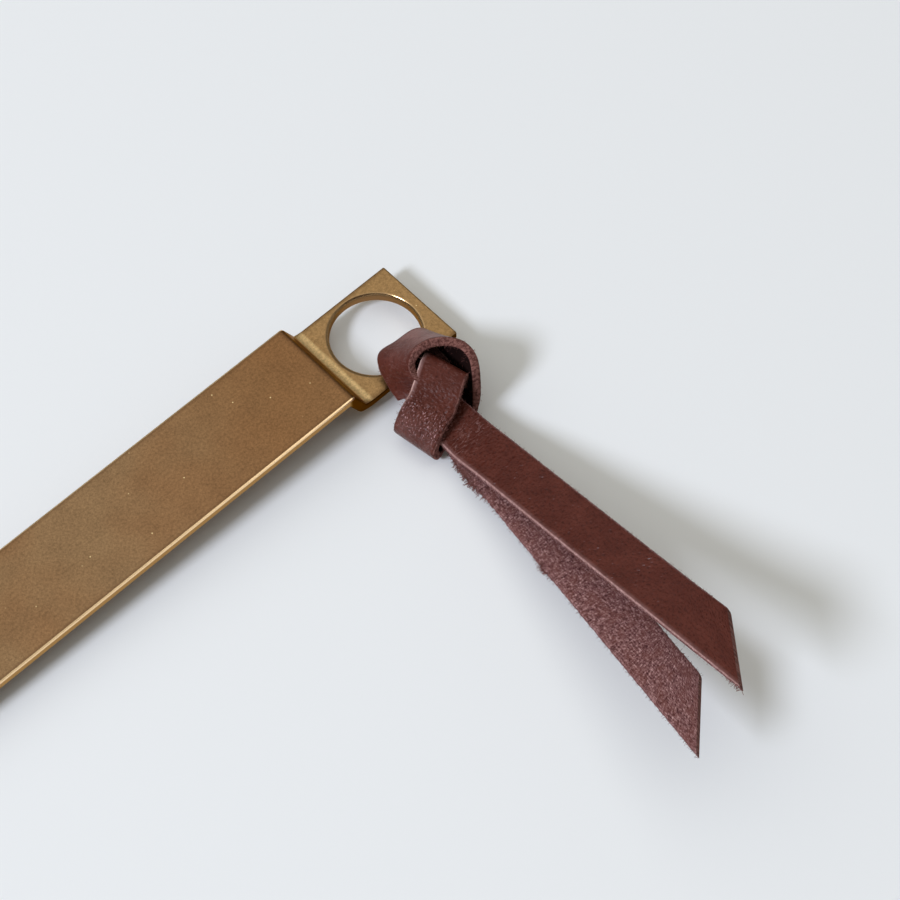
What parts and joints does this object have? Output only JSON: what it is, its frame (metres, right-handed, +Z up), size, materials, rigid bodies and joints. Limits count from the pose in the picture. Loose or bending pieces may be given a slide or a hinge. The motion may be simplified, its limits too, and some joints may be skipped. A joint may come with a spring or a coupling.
{
  "type": "straight ruler",
  "caption": "Straight brass ruler with a stepped-down hanging tab, a large round hole and a knotted leather thong through it.",
  "frame": {"origin": "middle of the whole object's box in plan, on the table it lies on", "axes": "+X along the blade towards the hanging tab, -Y the way the thong leaves the tab, +Z up from the table"},
  "size_m": [0.2252, 0.111, 0.0278],
  "materials": {
    "brass": "satin",
    "leather": "satin"
  },
  "bodies": {
    "blade": {"ruler_blade": "brass"},
    "knot": {"thong_loop": "leather", "thong_wrap": "leather"},
    "upper_tail": {"thong_upper_tail": "leather"},
    "lower_tail": {"thong_lower_tail": "leather"}
  },
  "joints": [
    {"name": "thong_swing", "type": "hinge", "parent": "blade", "child": "knot", "pos_m": [0.10137, 0.03687, 0.00371], "axis": [-1, 0, 0], "range_deg": [-85, 60]},
    {"name": "upper_tail_flex", "type": "hinge", "parent": "knot", "child": "upper_tail", "pos_m": [0.10017, 0.01897, 0.00584], "axis": [-1, 0, 0], "range_deg": [-2, 45], "stiffness_Nm_per_rad": 0.02},
    {"name": "lower_tail_flex", "type": "hinge", "parent": "knot", "child": "lower_tail", "pos_m": [0.10017, 0.01897, 0.00209], "axis": [-1, 0, 0], "range_deg": [-40, 2], "stiffness_Nm_per_rad": 0.02}
  ]
}
